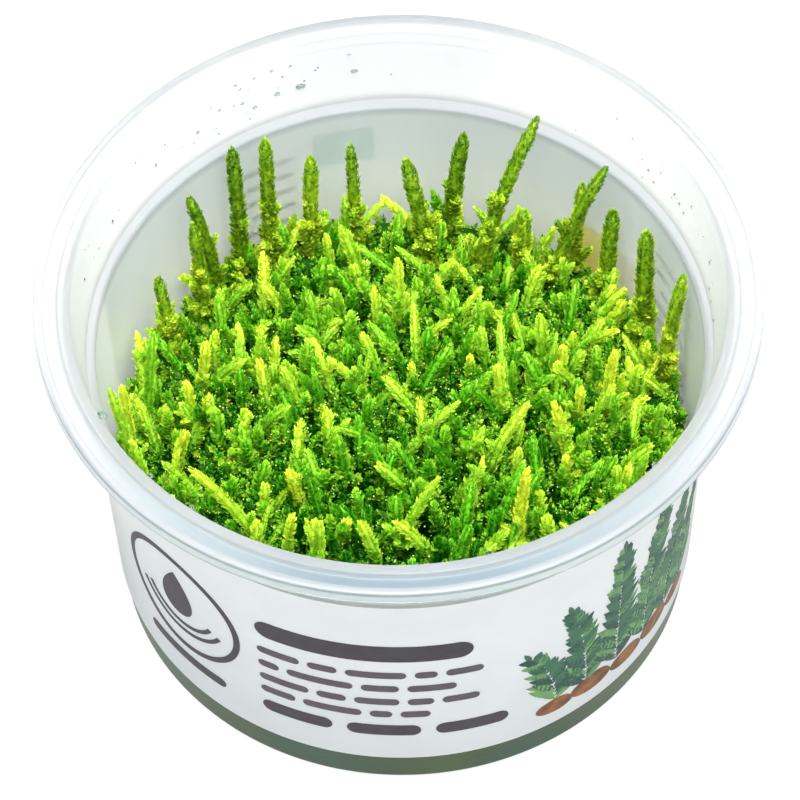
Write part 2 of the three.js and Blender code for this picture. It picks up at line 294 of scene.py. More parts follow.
cup_rings = [
    (FOOT_RADIUS - 0.9 * MM, 0),
    (FOOT_RADIUS - 0.26 * MM, 0.26 * MM),
    (FOOT_RADIUS, 0.9 * MM),
    (LEDGE_RADIUS, LEDGE_HEIGHT - 0.9 * MM),
    (UPPER_WALL_RADIUS, LEDGE_HEIGHT + 0.1 * MM),
    (MOUTH_RADIUS + WALL, FLANGE_UNDER - 0.8 * MM),
    (MOUTH_RADIUS + WALL + 0.25 * MM, FLANGE_UNDER - 0.25 * MM),
    (MOUTH_RADIUS + WALL + 0.9 * MM, FLANGE_UNDER),
    (FLANGE_RADIUS - 0.8 * MM, FLANGE_UNDER),
    (FLANGE_RADIUS - 0.7 * MM, SKIRT_FOOT),
    (FLANGE_RADIUS, SKIRT_FOOT),
    (FLANGE_RADIUS, CUP_HEIGHT - 0.3 * MM),
    (FLANGE_RADIUS - 0.1 * MM, CUP_HEIGHT - 0.09 * MM),
    (FLANGE_RADIUS - 0.3 * MM, CUP_HEIGHT),
    (FLANGE_RADIUS - 1.1 * MM, CUP_HEIGHT),
    (FLANGE_RADIUS - 1.4 * MM, CUP_HEIGHT - 0.75 * MM),
    (FLANGE_RADIUS - 2.8 * MM, CUP_HEIGHT - 0.75 * MM),
    (FLANGE_RADIUS - 3.2 * MM, CUP_HEIGHT - 0.1 * MM),
    (MOUTH_RADIUS + 0.4 * MM, CUP_HEIGHT - 0.1 * MM),
    (MOUTH_RADIUS + 0.12 * MM, CUP_HEIGHT - 0.25 * MM),
    (MOUTH_RADIUS, CUP_HEIGHT - 0.6 * MM),
    (UPPER_WALL_RADIUS - WALL, LEDGE_HEIGHT + 0.9 * MM),
    (LEDGE_RADIUS - WALL, LEDGE_HEIGHT),
    (FOOT_RADIUS - WALL, WALL + 0.9 * MM),
    (FOOT_RADIUS - WALL - 0.26 * MM, WALL + 0.26 * MM),
    (FOOT_RADIUS - WALL - 0.9 * MM, WALL),
]
cup = turned_up("clear_cup", cup_rings, CUP_SIDES)
softened_edges(cup, width=0.1 * MM)
settle(cup)
cup.data.materials.append(frosted_plastic())
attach(cup, "root")
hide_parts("cup")

# Label
# The label is a printed film wrapped round the lower wall, white on the front, with a bare strip of wall
# between its two ends. Its colours carry painted shade: the front darkens towards its foot, and its back,
# seen through the wall, is painted grey near the top and a light green-white lower down.
LABEL_FOOT = 6.2 * MM
LABEL_TOP = 44.6 * MM
LABEL_GAP = 0.12 * MM
LABEL_THICKNESS = 0.25 * MM
LABEL_SIDES = 360
# The wall is bare between these two turns round the cup, in degrees.
BARE_FROM, BARE_TO = 166, 187


def label_radius(height):
    """Radius of the label's printed face."""
    return lower_wall_radius(height) + LABEL_GAP + LABEL_THICKNESS


def lit_through(tree, shader, output, tint, share):
    """Lets a share of the light through a thin piece, in the piece's own colour."""
    glow = outputs_of(tree, "BsdfTranslucent", {"Color": tint})["BSDF"]
    parts = {"Fac": share, 1: shader.outputs["BSDF"], 2: glow}
    feed(tree, output, {"Surface": outputs_of(tree, "MixShader", parts)["Shader"]})


def thin_film(name, shades, through, foot=LABEL_FOOT, roughness=0.42, behind=None):
    """Film coloured from its foot to its top, and in other colours round the back where they are given; on
    the label these colours are painted shade and light. Through is the share of light that it lets through
    at the front and at the back."""
    mat, tree, shader, output = new_material(name)
    point = point_parts(tree)
    up = spread(tree, point["Z"], foot, LABEL_TOP)
    shade = ramp(tree, up, shades)
    if behind:
        shade = mixed(tree, spread(tree, point["Y"], 0, 18 * MM), shade, ramp(tree, up, behind))
    mottle = ramp(tree, blotches(tree, 140, 3), [(0.35, (0.97, 0.97, 0.97)), (0.65, (1, 1, 1))])
    tint = times(tree, shade, mottle)
    uneven = spread(tree, blotches(tree, 400, 2), 0.3, 0.7, roughness - 0.06, roughness + 0.06)
    feed(tree, shader, {"Base Color": tint, "Roughness": uneven})
    lit_through(tree, shader, output, tint, spread(tree, point["Y"], -20 * MM, 15 * MM, *through))
    return mat


bpy.ops.object.select_all(action="DESELECT")
bpy.ops.mesh.primitive_cylinder_add(
    vertices=LABEL_SIDES,
    radius=lower_wall_radius(LABEL_FOOT) + LABEL_GAP,
    depth=LABEL_TOP - LABEL_FOOT,
    end_fill_type="NOTHING",
    location=(0, 0, (LABEL_FOOT + LABEL_TOP) / 2),
)
label = bpy.context.active_object
label.name = "wrap_label"
bpy.ops.object.mode_set(mode="EDIT")
sheet = bmesh.from_edit_mesh(label.data)
for vert in sheet.verts:
    vert.select = vert.co.z > 0
sheet.select_flush_mode()
bmesh.update_edit_mesh(label.data)
flare = (lower_wall_radius(LABEL_TOP) + LABEL_GAP) / (lower_wall_radius(LABEL_FOOT) + LABEL_GAP)
bpy.ops.transform.resize(value=(flare, flare, 1), center_override=(0, 0, LABEL_TOP))
bpy.ops.mesh.select_all(action="DESELECT")
sheet = bmesh.from_edit_mesh(label.data)
for face in sheet.faces:
    middle = face.calc_center_median()
    turn = math.degrees(math.atan2(middle.y, middle.x)) % 360
    face.select = BARE_FROM < turn < BARE_TO
bmesh.update_edit_mesh(label.data)
bpy.ops.mesh.delete(type="FACE")
bpy.ops.object.mode_set(mode="OBJECT")
# Painted shade: the front darkens towards the foot; round the back it is lighter, as painted light.
label.data.materials.append(thin_film(
    "printed_label_film",
    [(0, (0.69, 0.73, 0.75)), (0.6, (0.79, 0.82, 0.84)), (1, (0.86, 0.885, 0.90))],
    (0.3, 0.62),
    behind=[(0, (0.97, 0.985, 0.97)), (0.6, (0.96, 0.98, 0.975)), (1, (0.84, 0.88, 0.895))],
))
# Painted shade and light on the label's back: grey near its top, a light green-white towards its foot.
label.data.materials.append(thin_film(
    "label_back",
    [(0, (0.99, 1.0, 0.90)), (0.5, (0.97, 1.0, 0.91)), (1, (0.76, 0.81, 0.81))],
    (0.4, 0.96),
    foot=20 * MM,
    roughness=0.55,
))
film = label.modifiers.new("film", "SOLIDIFY")
film.thickness = LABEL_THICKNESS
film.offset = 1
film.use_even_offset = True
film.material_offset = 0
bpy.ops.object.modifier_apply(modifier=film.name)
for face in label.data.polygons:
    inwards = face.normal.x * face.center.x + face.normal.y * face.center.y < 0
    face.material_index = 1 if inwards and abs(face.normal.z) < 0.5 else 0
settle(label)
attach(label, "root")
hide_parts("label")

# Print on the label
# The print is plain shapes in ink: a ring with a water drop, rows of bars, and a strip of leafy sprigs
# over pebbles. Each is drawn flat, in distance along the wall and height on it, then laid on the cone.
INK_THICKNESS = 0.05 * MM
INK_OVERLAP = 0.02 * MM
INK_STANDOFF = 0.01 * MM
INK_BLACK = (0.042, 0.036, 0.042)
COLUMN_WIDTH = 1.2 * MM
EMBLEM_X, EMBLEM_Y = -34 * MM, 26.5 * MM


def ink(name, colour, variation=0.12):
    """Dull ink, a little uneven."""
    mat, tree, shader, _ = new_material(name)
    low = tuple(part * (1 - variation) for part in colour)
    high = tuple(min(1, part * (1 + variation)) for part in colour)
    tint = ramp(tree, blotches(tree, 500, 3), [(0.35, low), (0.65, high)])
    feed(tree, shader, {"Base Color": tint, "Roughness": 0.5, "Specular IOR Level": 0.2})
    return mat


def through_ink(name, low, high):
    """Ink that the light comes through, seen from inside the cup as well."""
    return thin_film(name, [(0, low), (1, high)], (0.85, 1.0))


def strip(left, right, columns=1):
    """Four-sided faces between two rows of points, in columns where a shape is wide, so that it can follow
    the wall."""
    rows = len(left)
    points = [
        tuple(start + (end - start) * column / columns for start, end in zip(*pair))
        for column in range(columns + 1)
        for pair in zip(left, right)
    ]
    corners = [column * rows + row for column in range(columns) for row in range(rows - 1)]
    return points, [(i, i + 1, i + 1 + rows, i + rows) for i in corners]


def mirrored_strip(x, y, outline):
    """A shape as high below its middle line as above it: outline is (along, up)."""
    return strip([(x + at, y - up) for at, up in outline], [(x + at, y + up) for at, up in outline])


def bar(x, y, width, height):
    """A bar with round ends, its middle at x, y."""
    half, reach = height / 2, width / 2 - height / 2
    steps = max(2, int(2 * reach / COLUMN_WIDTH))
    quarter = [math.pi / 2 * i / 6 for i in range(7)]
    outline = [(-reach - half * math.cos(turn), half * math.sin(turn)) for turn in quarter]
    outline += [(-reach + 2 * reach * i / steps, half) for i in range(1, steps)]
    outline += [(reach + half * math.sin(turn), half * math.cos(turn)) for turn in quarter]
    return mirrored_strip(x, y, outline)


def panel(x, y, width, height):
    """A plain rectangle, its middle at x, y."""
    steps = max(2, int(width / COLUMN_WIDTH))
    outline = [(width * i / steps - width / 2, height / 2) for i in range(steps + 1)]
    return mirrored_strip(x, y, outline)


def ring(x, y, radius, thickness, start=0, end=360, steps=72):
    """A ring, or a part of one between two angles."""
    inner, outer = [], []
    for i in range(steps + 1):
        turn = math.radians(start + (end - start) * i / steps)
        for row, out in ((inner, radius), (outer, radius + thickness)):
            row.append((x + out * math.cos(turn), y + out * math.sin(turn)))
    return strip(outer, inner)


def drop(x, y, radius):
    """A water drop, point up."""
    left, right = [], []
    for i in range(15):
        turn = math.pi * i / 14
        wide = radius * math.sin(turn) * math.sin(turn / 2) ** 0.9
        at = y + radius * 1.35 * math.cos(turn)
        left.append((x - wide, at))
        right.append((x + wide, at))
    return strip(left, right, columns=6)


def leaf_shape(x, y, length, width, turn):
    """A pointed leaf that grows from x, y."""
    left, right = [], []
    cosine, sine = math.cos(turn), math.sin(turn)
    for i in range(7):
        share = i / 6
        along = length * share
        wide = width / 2 * math.sin(math.pi * share) ** 0.8 * (1 - 0.35 * share)
        for row, across in ((left, wide), (right, -wide)):
            row.append((x + along * cosine - across * sine, y + along * sine + across * cosine))
    return strip(left, right)


def pebble(x, y, width, height, turn):
    """A low stone, flatter underneath."""
    upper, lower = [], []
    for i in range(13):
        angle = math.pi * i / 12
        at = x - width / 2 * math.cos(angle)
        lump = 1 + 0.07 * math.sin(3 * angle + turn)
        upper.append((at, y + height / 2 * math.sin(angle) * lump))
        lower.append((at, y - height / 2 * math.sin(angle) * 0.8))
    return strip(lower, upper)


def placed(name, data):
    """A new object of this mesh, lamp or camera, put in the scene."""
    ob = bpy.data.objects.new(name, data)
    bpy.context.scene.collection.objects.link(ob)
    return ob


def piece_of(name, points, faces):
    """A new piece from points and faces worked out in numbers."""
    mesh = bpy.data.meshes.new(name)
    mesh.from_pydata(points, [], faces)
    return placed(name, mesh)


def printed(name, shapes, material, through=False):
    """Joins flat shapes, lays them on the label and gives the ink its thickness. Ink that shows on both
    sides goes through the film."""
    points, faces = [], []
    for shape_points, shape_faces in shapes:
        start = len(points)
        points += [(x, y, 0) for x, y in shape_points]
        faces += [tuple(start + i for i in face) for face in shape_faces]
    ob = piece_of(name, points, faces)
    only(ob)
    bpy.ops.object.mode_set(mode="EDIT")
    bpy.ops.mesh.select_all(action="SELECT")
    bpy.ops.mesh.remove_doubles(threshold=0.002 * MM)
    bpy.ops.mesh.normals_make_consistent(inside=False)
    bpy.ops.object.mode_set(mode="OBJECT")
    if sum(face.normal.z for face in ob.data.polygons) < 0:
        ob.data.flip_normals()
    film_depth = LABEL_THICKNESS + INK_OVERLAP if through else 0
    layer = ob.modifiers.new("ink", "SOLIDIFY")
    layer.offset = 1
    layer.thickness = INK_THICKNESS + film_depth
    bpy.ops.object.modifier_apply(modifier=layer.name)
    back = -film_depth if through else INK_STANDOFF
    middle = label_radius((LABEL_FOOT + LABEL_TOP) / 2)
    for vert in ob.data.vertices:
        along, height, proud = vert.co
        turn = along / middle - math.pi / 2
        radius = label_radius(height) + back + proud
        vert.co = (radius * math.cos(turn), radius * math.sin(turn), height)
    ob.data.materials.append(material)
    settle(ob)
    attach(ob, "root")


emblem = [
    ring(EMBLEM_X, EMBLEM_Y, 9.8 * MM, 1.0 * MM),
    drop(EMBLEM_X, EMBLEM_Y + 2.2 * MM, 3.6 * MM),
    ring(EMBLEM_X, EMBLEM_Y + 1.8 * MM, 6.2 * MM, 0.7 * MM, start=208, end=332, steps=28),
    ring(EMBLEM_X, EMBLEM_Y + 1.8 * MM, 7.9 * MM, 0.7 * MM, start=208, end=332, steps=28),
    bar(EMBLEM_X, EMBLEM_Y - 13.6 * MM, 15 * MM, 2.0 * MM),
]
printed("label_emblem", emblem, ink("ink_emblem", INK_BLACK))


def rows_of_bars(rows):
    """Bars from their middles, widths and heights in mm."""
    return [bar(x * MM, y * MM, width * MM, height * MM) for x, y, width, height in rows]


broad_bars = [(-6, 33.2, 29, 3.8), (-15.5, 13.6, 10, 2.6), (-3.5, 13.6, 10, 2.6), (8.5, 13.6, 10, 2.6)]
thin_bars = []
for height, lengths in (
    (27.8, (6, 4, 8, 3, 5)),
    (24.4, (3, 9, 5, 6.5)),
    (21, (7, 4, 6, 3.5, 5)),
    (17.8, (5, 8, 3, 4)),
):
    left = -20.5
    for length in lengths:
        thin_bars.append((left + length / 2, height, length, 1.5))
        left += length + 1.1
printed("label_broad_bars", rows_of_bars(broad_bars), ink("ink_broad_bars", INK_BLACK))
printed("label_thin_bars", rows_of_bars(thin_bars), ink("ink_thin_bars", (0.075, 0.065, 0.075)))

# The strip of sprigs, each its foot, its height and its lean, and the pebbles under it.
print_chance = random.Random(31)
sprig_tones = {
    "pale": (0.11, 0.25, 0.085),
    "middle": (0.028, 0.115, 0.060),
    "deep": (0.010, 0.055, 0.040),
}
sprigs = {tone: [] for tone in sprig_tones}
for foot_x, tall, lean in (
    (20.5, 13, -0.3),
    (25.5, 20, -0.15),
    (31.0, 27, 0.0),
    (37.0, 29, 0.12),
    (42.5, 24, 0.2),
    (47.0, 17, 0.25),
):
    pairs = int(tall / 0.85)
    for i in range(pairs):
        share = i / pairs
        x = (foot_x + lean * tall * share * share) * MM
        y = (12.5 + tall * share) * MM
        up = math.pi / 2 - lean * 1.6 * share
        for side in (-1, 1):
            length = (6.2 * (1 - 0.72 * share) + print_chance.uniform(-0.5, 0.5)) * MM
            tone = print_chance.choice(("pale", "middle", "middle", "deep"))
            turn = up + side * print_chance.uniform(0.55, 0.95)
            sprigs[tone].append(leaf_shape(x, y, length, 1.6 * MM, turn))
    top = ((foot_x + lean * tall) * MM, (12.2 + tall) * MM)
    sprigs["middle"].append(leaf_shape(*top, 2.4 * MM, 1.0 * MM, math.pi / 2 - lean * 1.6))
for tone, shapes in sprigs.items():
    printed(f"label_sprigs_{tone}", shapes, ink(f"ink_leaf_{tone}", sprig_tones[tone]))
pebbles = [
    pebble(x * MM, y * MM, width * MM, height * MM, x)
    for x, y, width, height in (
        (20.5, 10.6, 5.8, 3.6),
        (26.6, 11.0, 7.0, 4.4),
        (33.3, 10.6, 6.4, 3.8),
        (39.8, 11.0, 6.6, 4.3),
        (46.2, 10.7, 6.0, 3.7),
    )
]
printed("label_pebbles", pebbles, ink("ink_pebbles", (0.17, 0.068, 0.018), variation=0.45))

# Small bars in three columns and three plain panels round the back, which show through the wall.
small_bars = []
for column, (left, width) in enumerate(((59, 10.5), (-113, 9), (71.5, 14.5))):
    for row in range(8):
        length = width * (0.55, 1, 0.9, 1, 0.75, 1, 0.85, 0.6)[(row + column) % 8]
        small_bars.append((left + length / 2, 38 - 3.1 * row, length, 0.8))
grey_ink = through_ink("ink_small_bars", (0.64, 0.67, 0.67), (0.70, 0.73, 0.73))
printed("label_small_bars", rows_of_bars(small_bars), grey_ink, through=True)
for tone, x, y, width, height, low, high in (
    ("teal", -120.5, 38, 8.3, 6.3, (0.76, 0.88, 0.85), (0.80, 0.91, 0.88)),
    ("yellow", 97.4, 26.5, 4.6, 9, (1.0, 0.88, 0.10), (1.0, 0.90, 0.14)),
    ("peach", 90.8, 26.5, 4, 8, (1.0, 0.92, 0.76), (1.0, 0.94, 0.80)),
):
    shape = panel(x * MM, y * MM, width * MM, height * MM)
    printed(f"label_{tone}_panel", [shape], through_ink(f"ink_{tone}", low, high), through=True)

# Gel
# The clear nutrient gel was poured into the cup and set, so it follows the wall and the floor and is a
# little hollow on top. It is cloudy; its dark green is painted shade, for the moss that grows on it.
GEL_GAP = 0.3 * MM
GEL_SIDES = 96


def nutrient_gel():
    """Cloudy jelly, painted dark green for the shade of the moss above it."""
    mat, tree, shader, _ = new_material("nutrient_gel")
    tint = ramp(tree, blotches(tree, 45, 4), [(0.3, (0.20, 0.27, 0.17)), (0.7, (0.30, 0.37, 0.25))])
    feed(tree, shader, {"Base Color": tint, "Roughness": 0.2, "IOR": 1.34, "Transmission Weight": 0.45})
    return mat


def gel_radius(height):
    """How far out the gel reaches at a height."""
    return lower_wall_radius(height) - WALL - GEL_GAP


gel_floor = WALL + GEL_GAP
gel_rings = [
    (gel_radius(gel_floor) - 1.2 * MM, gel_floor),
    (gel_radius(gel_floor) - 0.35 * MM, gel_floor + 0.35 * MM),
    (gel_radius(gel_floor + 1.2 * MM), gel_floor + 1.2 * MM),
    (gel_radius(GEL_TOP), GEL_TOP),
    (gel_radius(GEL_TOP) - 0.3 * MM, GEL_TOP - 0.2 * MM),
    (gel_radius(GEL_TOP) - 1.2 * MM, GEL_TOP - 0.38 * MM),
    (gel_radius(GEL_TOP) - 6 * MM, GEL_TOP - 0.5 * MM),
]
gel = turned_up("set_gel", gel_rings, GEL_SIDES)
settle(gel)
gel.data.materials.append(nutrient_gel())
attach(gel, "root")
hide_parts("gel")

# Moss cushion
# The moss is one grown tangle that fills the cup above the gel. Its depth, where hardly any light comes, is
# a dark lumpy cushion against the gel and the wall.
MAT_RIM_HEIGHT = 25 * MM
MAT_CROWN = 8 * MM
MAT_TILT = 0.08
CUSHION_RINGS = 20
CUSHION_SIDES = 90


def mat_height(x, y):
    """Height of the mat's crowded surface."""
    outward = np.hypot(x, y) / (FOOT_RADIUS - WALL)
    return MAT_RIM_HEIGHT + MAT_CROWN * (1 - outward**2) - MAT_TILT * y


def dark_cushion():
    """Painted shade: the moss's depth in a very dark green, rough all over."""
    mat, tree, shader, _ = new_material("moss_depth")
    shades = [(0.35, (0.003, 0.040, 0.001)), (0.65, (0.020, 0.140, 0.005))]
    feed(tree, shader, {
        "Base Color": ramp(tree, blotches(tree, 420, 4), shades),
        "Roughness": 0.8,
        "Specular IOR Level": 0.1,
        "Normal": grained(tree, scale=900, detail=3, strength=0.8, depth=0.6 * MM),
    })
    return mat


mat_foot = GEL_TOP + 0.3 * MM
cushion_rings = [
    (gel_radius(mat_foot) - 0.3 * MM, mat_foot),
    (gel_radius(MAT_RIM_HEIGHT) - 0.3 * MM, MAT_RIM_HEIGHT - 5 * MM),
]
for step in range(1, CUSHION_RINGS):
    share = 1 - step / CUSHION_RINGS
    cushion_rings.append(((gel_radius(MAT_RIM_HEIGHT) - 0.6 * MM) * share, MAT_RIM_HEIGHT))
cushion = turned_up("moss_depth", cushion_rings, CUSHION_SIDES)
for vert in cushion.data.vertices:
    if vert.co.z > MAT_RIM_HEIGHT - 1 * MM:
        lump = math.sin(vert.co.x * 900) * math.cos(vert.co.y * 1100)
        vert.co.z = float(mat_height(vert.co.x, vert.co.y)) - (4.4 - 0.9 * lump) * MM
settle(cushion, smooth_angle=60)
cushion.data.materials.append(dark_cushion())
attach(cushion, "root")
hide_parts("moss_mat")

# Fine sprigs
# Thousands of thin sprigs lie over the cushion, each a hair-fine stem set with small folded leaves. They
# They grow close together, lean all ways and lie in slow patches, lower and painted darker where shade falls
# in the hollows.
WALL_CLEARANCE = 0.45 * MM
FINE_SPACING = 1.3 * MM
ROW_STEP = 0.866
SPIRAL_TURN = 2.39996
LEAF_SHADES = [
    (0.0, (0.002, 0.060, 0.001)),
    (0.25, (0.018, 0.270, 0.006)),
    (0.5, (0.165, 0.600, 0.016)),
    (0.75, (0.560, 0.890, 0.065)),
    (1.0, (0.850, 0.950, 0.080)),
]
# Painted shade and light on each leaf: how much darker it is at its foot, where it meets the stem, and at
# its two sides, and how much lighter at its point.
LEAF_PAINTED_SHADE_AND_LIGHT = np.array([-0.22, -0.02, -0.02, 0.07])


def inside_radius(height):
    """How far out moss can reach at a height before it touches the wall."""
    low = lower_wall_radius(np.minimum(height, LEDGE_HEIGHT)) - WALL
    high = UPPER_WALL_RADIUS - WALL
    return np.where(height > LEDGE_HEIGHT + 0.9 * MM, high, low) - WALL_CLEARANCE


def kept_inside(points):
    """Pulls points that would pass the wall back inside it, by a leaf's length."""
    radius = np.hypot(points[:, 0], points[:, 1])
    limit = inside_radius(points[:, 2]) - 0.7 * MM
    squeeze = np.minimum(1, limit / np.maximum(radius, 1e-6))
    return points * np.column_stack((squeeze, squeeze, np.ones(len(points))))


def moss_leaf(name, through, shades=LEAF_SHADES, mottle=0.05, mottle_scale=1500):
    """Thin moist leaf: shaded by the leaf's own tone, with light coming through it."""
    mat, tree, shader, output = new_material(name)
    tone = outputs_of(tree, "Attribute", {}, attribute_name="tone")["Fac"]
    patch = spread(tree, blotches(tree, mottle_scale, 2), 0.3, 0.7, -mottle, mottle)
    tint = ramp(tree, arithmetic(tree, "ADD", tone, patch), shades)
    feed(tree, shader, {"Base Color": tint, "Roughness": 0.36, "Specular IOR Level": 0.4})
    lit_through(tree, shader, output, tint, through)
    return mat


def unit(vectors):
    """Vectors brought to a length of one."""
    return vectors / np.linalg.norm(vectors, axis=-1, keepdims=True)


def on_stem(roots, tips, rise):
    """Places along bent stems: rise runs from 0 at the root to 1 at the tip."""
    bend = rise * (0.45 + 0.55 * rise)
    return roots + (tips - roots) * np.stack((bend, bend, rise), axis=-1)


def stem_frames(roots, tips, rise, facing):
    """Directions along a bent stem and the two across it."""
    slope = 0.45 + 1.1 * rise
    along = unit((tips - roots) * np.stack((slope, slope, np.ones_like(rise)), axis=-1))
    level = np.stack((np.cos(facing), np.sin(facing), np.zeros_like(facing)), axis=-1)
    side = unit(np.cross(along, level))
    return along, side, np.cross(side, along)


def narrowing(rise, blunt):
    """How a shoot thins towards its tip: the smaller blunt is, the rounder the tip."""
    return (1 - blunt * rise**2) * np.clip((1 - rise) / blunt, 0.0, 1) ** 0.5


def stem_cores(roots, tips, radii, facing, base_tones, tip_tones, sides, rings, blunt):
    """Closed stems, thin at the tip, under the leaves."""
    count = len(roots)
    rise = np.linspace(0, 0.98, rings)
    rises = np.tile(rise, (count, 1))
    facings = np.tile(facing[:, None], (1, rings))
    _, side, front = stem_frames(roots[:, None], tips[:, None], rises, facings)
    centre = on_stem(roots[:, None], tips[:, None], rises)
    angle = 2 * math.pi * np.arange(sides) / sides
    radius = (radii[:, None] * narrowing(rises, blunt))[:, :, None, None]
    ring_points = (
        centre[:, :, None]
        + radius * np.cos(angle)[None, None, :, None] * side[:, :, None]
        + radius * np.sin(angle)[None, None, :, None] * front[:, :, None]
    ).reshape(count, -1, 3)
    points = np.concatenate((ring_points, roots[:, None], centre[:, -1:]), axis=1)
    faces = []
    for ring_number in range(rings - 1):
        for i in range(sides):
            here, beside = ring_number * sides + i, ring_number * sides + (i + 1) % sides
            faces += [(here, beside, beside + sides), (here, beside + sides, here + sides)]
    low, high, last = rings * sides, rings * sides + 1, (rings - 1) * sides
    for i in range(sides):
        faces += [(low, (i + 1) % sides, i), (high, last + i, last + (i + 1) % sides)]
    faces = np.array(faces)[None] + (points.shape[1] * np.arange(count))[:, None, None]
    along = np.concatenate((np.repeat(rise, sides), [0, 1]))
    tone = base_tones[:, None] + (tip_tones - base_tones)[:, None] * along - 0.04
    return points.reshape(-1, 3), faces.reshape(-1, 3), tone.reshape(-1)


def leafy_stems(
    roots, tips, widths, base_tones, tip_tones, chance,
    per_mm, opening, core_share, bare=0.0, uneven=0.08, sparkle=0.0, blunt=0.16, flat=0.0,
):
    """Stems set with small folded leaves of two faces: a flat share of them in two rows, facing the front,
    and the rest all round in a spiral. Opening is how far they stand away in radians; bare is the leafless
    share at the foot."""
    lengths = np.linalg.norm(tips - roots, axis=1)
    counts = np.maximum(10, (lengths / MM * per_mm * (1 - bare)).astype(int))
    strand = np.repeat(np.arange(len(roots)), counts)
    order = np.concatenate([np.arange(count) for count in counts])
    rise = bare + (1 - bare) * (order + 0.5) / counts[strand]
    facing = -math.pi / 2 + chance.normal(0, 0.9, len(roots))
    along, side, front = stem_frames(roots[strand], tips[strand], rise, facing[strand])
    turn = np.where(
        chance.random(len(rise)) < flat,
        math.pi * (order % 2) + chance.normal(0, 0.4, len(rise)),
        order * SPIRAL_TURN + chance.uniform(-0.4, 0.4, len(rise)),
    )
    out = np.cos(turn)[:, None] * side + np.sin(turn)[:, None] * front
    across = np.cross(along, out)
    thin = narrowing(rise, blunt)
    opened = chance.uniform(*opening, len(rise)) * (1 - min(0.6, 2.4 * blunt) * rise**5)
    core = core_share * widths[strand] * thin
    leaf = (0.5 * widths[strand] - core_share * widths[strand]) / math.sin(sum(opening) / 2)
    leaf = leaf * chance.uniform(0.8, 1.2, len(rise)) * (0.45 + 0.55 * thin)
    point = np.cos(opened)[:, None] * along + np.sin(opened)[:, None] * out
    hollow = np.cross(across, point)
    base = on_stem(roots[strand], tips[strand], rise) + (0.9 * core)[:, None] * out
    middle = base + point * (0.45 * leaf)[:, None] + hollow * (0.1 * leaf)[:, None]
    half = across * (0.3 * leaf)[:, None]
    corners = (base, middle - half, middle + half, base + point * leaf[:, None])
    faces = 4 * np.arange(len(rise))[:, None, None] + np.array([(0, 2, 3), (0, 3, 1)])[None]
    own = base_tones[strand] + (tip_tones - base_tones)[strand] * rise
    own = own + chance.normal(0, uneven, len(rise))
    # Painted highlights: a share of leaves, the sparkle, is made much lighter, as glints on wet leaves.
    own = own + np.where(chance.random(len(rise)) < sparkle, 0.45, 0)
    painted_relief = LEAF_PAINTED_SHADE_AND_LIGHT[None] * np.clip(1.6 * (1.1 - own), 0.1, 1)[:, None]
    points = np.stack(corners, axis=1).reshape(-1, 3)
    leaves = (points, faces.reshape(-1, 3), (own[:, None] + painted_relief).reshape(-1))
    sides, rings = (6, 7) if core_share > 0.1 else (3, 4)
    stems = stem_cores(
        roots, tips, core_share * widths, facing, base_tones, tip_tones, sides, rings, blunt
    )
    return [leaves, stems]


def leaf_mesh(name, parts, material):
    """One joined mesh from parts, each its points, faces and tones, with each point's tone kept on it."""
    points = np.concatenate([part[0] for part in parts])
    starts = np.cumsum([0] + [len(part[0]) for part in parts[:-1]])
    faces = np.concatenate([part[1] + start for part, start in zip(parts, starts)])
    tones = np.concatenate([part[2] for part in parts])
    mesh = bpy.data.meshes.new(name)
    mesh.vertices.add(len(points))
    mesh.vertices.foreach_set("co", points.astype(np.float32).ravel())
    mesh.loops.add(faces.size)
    mesh.loops.foreach_set("vertex_index", faces.astype(np.int32).ravel())
    mesh.polygons.add(len(faces))
    mesh.polygons.foreach_set("loop_start", np.arange(0, faces.size, 3, dtype=np.int32))
    mesh.update(calc_edges=True)
    tone = mesh.attributes.new("tone", "FLOAT", "POINT")
    tone.data.foreach_set("value", np.clip(tones, 0, 1).astype(np.float32))
    mesh.materials.append(material)
    mesh.shade_smooth()
    ob = placed(name, mesh)
    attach(ob, "root")
    return ob


def spread_places(spacing, reach, chance, jitter=0.45):
    """Places about one spacing apart all over the mat, each shifted a little at random."""
    places = []
    for row in range(int(2 * reach / (spacing * ROW_STEP)) + 2):
        y = -reach + row * spacing * ROW_STEP
        for column in range(int(2 * reach / spacing) + 2):
            places.append((-reach + (column + 0.5 * (row % 2)) * spacing, y))
    places = np.array(places) + chance.uniform(-jitter, jitter, (len(places), 2)) * spacing
    return places[np.hypot(places[:, 0], places[:, 1]) < reach]


def patchiness(x, y):
    """Slow patches over the moss, about -1 to 1. The moss is sparser or lower in the low patches, and
    painted darker there as shade in the hollows.
    """
    return (
        np.sin(x * 420 + 1.3) * np.cos(y * 380 - 0.4)
        + 0.6 * np.sin(x * 900 - y * 700)
        + 0.5 * np.cos(x * 260 + y * 610 + 2)
    ) / 1.6


def painted_light_and_shade(x, y):
    """Painted light and shade: the moss is painted lighter along its sides and its back, and darker in the
    middle of the front.
    """
    to_side = np.clip((np.abs(x) - 12 * MM) / (18 * MM), 0, 1) * np.where(x > 0, 0.15, 0.08)
    to_back = np.clip(y / (25 * MM), 0, 1)
    to_front = np.clip((-y - 6 * MM) / (20 * MM), 0, 1)
    return to_side + 0.05 * to_back - 0.13 * to_front * (1 - 6 * to_side).clip(0, 1)


def back_edge(y):
    """0 over most of the mat, 1 along the wall at the back, where the moss stands taller."""
    return np.clip((y - 16 * MM) / (10 * MM), 0, 1)


